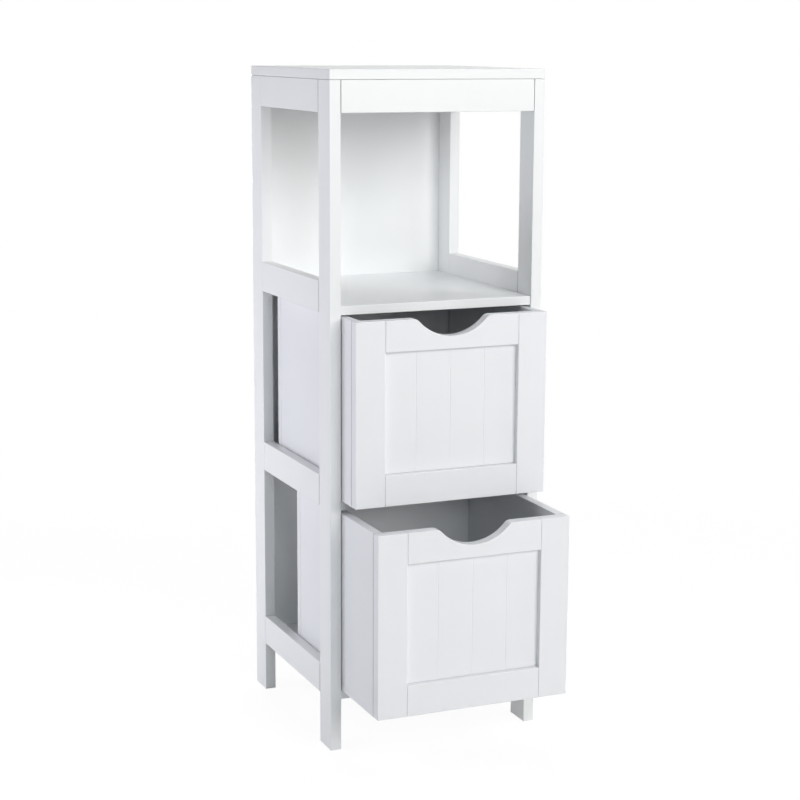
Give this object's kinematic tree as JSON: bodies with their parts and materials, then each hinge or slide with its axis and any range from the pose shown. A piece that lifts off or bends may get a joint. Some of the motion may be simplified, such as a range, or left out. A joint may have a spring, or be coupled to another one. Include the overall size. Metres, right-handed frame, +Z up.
{
  "type": "bathroom storage tower",
  "caption": "Slim white storage tower on four posts, with an open shelf above two drawers that slide on boards and open by a notch in the front.",
  "frame": {"origin": "on the floor, in the middle of the four posts", "axes": "+Z up, the drawers open towards -Y, +X to the right of someone who faces them"},
  "size_m": [0.3, 0.422, 0.8885],
  "materials": {
    "painted_board": "fibreboard painted satin white, with softly eased edges",
    "painted_grooved_panel": "fibreboard panel with upright V grooves, painted satin white",
    "painted_thin_board": "thin fibreboard with a satin white lacquered face",
    "dowel_wood": "plain beech dowels",
    "zinc_fittings": "zinc plated steel",
    "bumper_rubber": "soft matt rubber pads"
  },
  "bodies": {
    "cabinet": {"top_board": "painted_board", "front_top_rail": "painted_board", "front_left_post": "painted_board", "front_right_post": "painted_board", "back_left_post": "painted_board", "back_right_post": "painted_board", "left_bottom_rail": "painted_board", "left_middle_rail": "painted_board", "left_shelf_rail": "painted_board", "left_top_rail": "painted_board", "right_bottom_rail": "painted_board", "right_middle_rail": "painted_board", "right_shelf_rail": "painted_board", "right_top_rail": "painted_board", "open_shelf": "painted_board", "drawer_divider": "painted_board", "bottom_board": "painted_board", "back_panel": "painted_thin_board", "rail_dowels": "dowel_wood", "board_dowels": "dowel_wood", "top_dowels": "dowel_wood", "front_rail_dowels": "dowel_wood", "cam_bolts": "zinc_fittings", "cam_locks": "zinc_fittings", "back_panel_screws": "zinc_fittings"},
    "upper_drawer": {"upper_drawer_left_stile": "painted_board", "upper_drawer_right_stile": "painted_board", "upper_drawer_top_rail": "painted_board", "upper_drawer_bottom_rail": "painted_board", "upper_drawer_panel": "painted_grooved_panel", "upper_drawer_left_side": "painted_board", "upper_drawer_right_side": "painted_board", "upper_drawer_back": "painted_board", "upper_drawer_base": "painted_thin_board", "upper_drawer_dowels": "dowel_wood", "upper_drawer_screws": "zinc_fittings", "upper_drawer_bumpers": "bumper_rubber"},
    "lower_drawer": {"lower_drawer_left_stile": "painted_board", "lower_drawer_right_stile": "painted_board", "lower_drawer_top_rail": "painted_board", "lower_drawer_bottom_rail": "painted_board", "lower_drawer_panel": "painted_grooved_panel", "lower_drawer_left_side": "painted_board", "lower_drawer_right_side": "painted_board", "lower_drawer_back": "painted_board", "lower_drawer_base": "painted_thin_board", "lower_drawer_dowels": "dowel_wood", "lower_drawer_screws": "zinc_fittings", "lower_drawer_bumpers": "bumper_rubber"}
  },
  "joints": [
    {"name": "upper_drawer_slide", "type": "slide", "parent": "cabinet", "child": "upper_drawer", "axis": [0, -1, 0], "range_m": [-0.048, 0.152]},
    {"name": "lower_drawer_slide", "type": "slide", "parent": "cabinet", "child": "lower_drawer", "axis": [0, -1, 0], "range_m": [-0.122, 0.078]}
  ]
}
